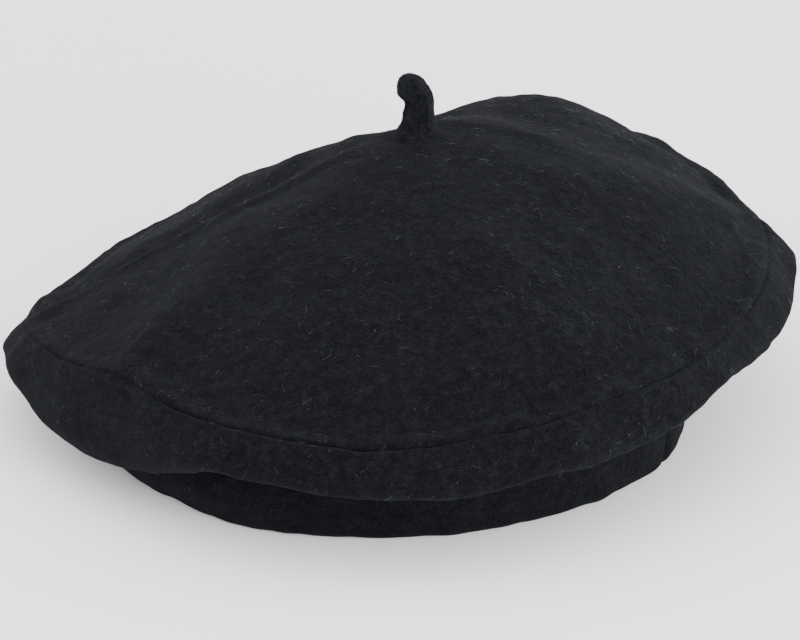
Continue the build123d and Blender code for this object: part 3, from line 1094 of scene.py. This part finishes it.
rim_line, rim_out = ring_line(crown_face, SEAM_ROW)
rim_stitches = stitches("rim_stitches", rim_line - 0.2 * rim_out, rim_out, length=2.6, gap=1.5,
                        radius=0.17, material=black_thread, slot="wool_thread")
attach(rim_stitches, "crown")
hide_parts("rim_seam_thread")
once_round = np.append(azimuths(720), FULL_TURN)
ribbon_line, ribbon_out = around(HEAD_R + 0.1, once_round, RIBBON_STITCH_Z), around(-1, once_round, 0)
ribbon_stitches = stitches("ribbon_stitches", ribbon_line, ribbon_out, length=3.2, gap=1.4,
                           radius=0.22, material=black_thread, slot="wool_thread")
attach(ribbon_stitches, "headband")
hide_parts("sweatband_thread", "hem_catch_thread")
lining_line, lining_out = ring_line(lining_back, split)
lining_stitches = stitches("lining_stitches", lining_line, -lining_out, length=2.4, gap=1.0,
                           radius=0.15, material=black_thread, slot="lining_thread")
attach(lining_stitches, "crown")
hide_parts("lining_seam_thread")
downwards = np.tile((0.0, 0.0, -1.0), (len(label_edge), 1))
label_stitches = stitches("label_stitches", label_edge, downwards, length=1.7, gap=1.1,
                          radius=0.14, material=pale_thread, slot="label_thread")
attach(label_stitches, "crown")
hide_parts("label_thread")

# ---- Nap and lint ----
NAP = dict(length=(0.6, 1.5), radius=0.030, rise=(0.25, 0.95), curl=2.0, rings=3, material=nap_fibre)
LINT = dict(length=(0.6, 2.7), radius=0.029, rise=(0.08, 0.35), curl=3.4, rings=8, material=lint_fibre)

top_part, side_part = crown_face[6:SEAM_ROW + 1], crown_face[SEAM_ROW:-8]
band_wall = band_face[2:44]          # without its hidden top and its hem
for name, grid, count, kind, seed in (
        ("nap_top", top_part, 12000, NAP, 71), ("lint_top", top_part, 1900, LINT, 81),
        ("nap_side", side_part, 7000, NAP, 72), ("lint_side", side_part, 760, LINT, 82)):
    piece = fibres(name, grid, count, **kind, seed=seed, slot="wool_cloth")
    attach(piece, "crown")
for name, count, kind, seed in (("nap_band", 3500, NAP, 73), ("lint_band", 170, LINT, 83)):
    piece = fibres(name, band_wall, count, **kind, seed=seed, slot="wool_cloth")
    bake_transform(piece)
stalk_nap = fibres("nap_stalk", stalk_grid[:, ::-1], 900, **NAP, seed=74, slot="wool_stalk")
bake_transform(stalk_nap)

# ---- Floor, light and camera ----
FLOOR_HALF = 6000.0


def floor():
    corners = np.array([(-1, -1, 0), (1, -1, 0), (1, 1, 0), (-1, 1, 0)])
    plane = put_mesh("floor", corners * FLOOR_HALF, np.arange(4)[None])
    n = Nodes("pale_floor")
    n.set(base_color=(0.93, 0.93, 0.93, 1.0), roughness=0.9)
    plane.data.materials.append(n.material)


def area_light(name, place, target, size, power):
    data = bpy.data.lights.new(name, "AREA")
    data.size = size
    data.energy = power
    lamp = put(name, data)
    lamp.location = place
    lamp.rotation_euler = (Vector(target) - Vector(place)).to_track_quat("-Z", "Y").to_euler()


def lights():
    world = bpy.data.worlds.new("studio")
    world.use_nodes = True
    set_inputs(world.node_tree.nodes["Background"], dict(color=(1.0, 1.0, 1.0, 1.0), strength=2.5))
    bpy.context.scene.world = world
    middle = (0, 0, 0.05)
    area_light("key", (0.85, -1.2, 0.62), middle, size=1.0, power=26)
    area_light("rim", (-0.9, 0.7, 0.8), middle, size=0.8, power=1)


CAMERA_ELEVATION = math.radians(26.0)
CAMERA_DISTANCE = 2.0
CAMERA_TARGET = (0.0039, 0.01085, 0.02224)
CAMERA_LENS = 277.0


def camera():
    data = bpy.data.cameras.new("camera")
    data.lens = CAMERA_LENS
    eye = put("camera", data)
    away = Vector((0, -math.cos(CAMERA_ELEVATION), math.sin(CAMERA_ELEVATION)))
    eye.location = Vector(CAMERA_TARGET) + away * CAMERA_DISTANCE
    eye.rotation_euler = (-away).to_track_quat("-Z", "Y").to_euler()
    bpy.context.scene.camera = eye


floor()
lights()
camera()
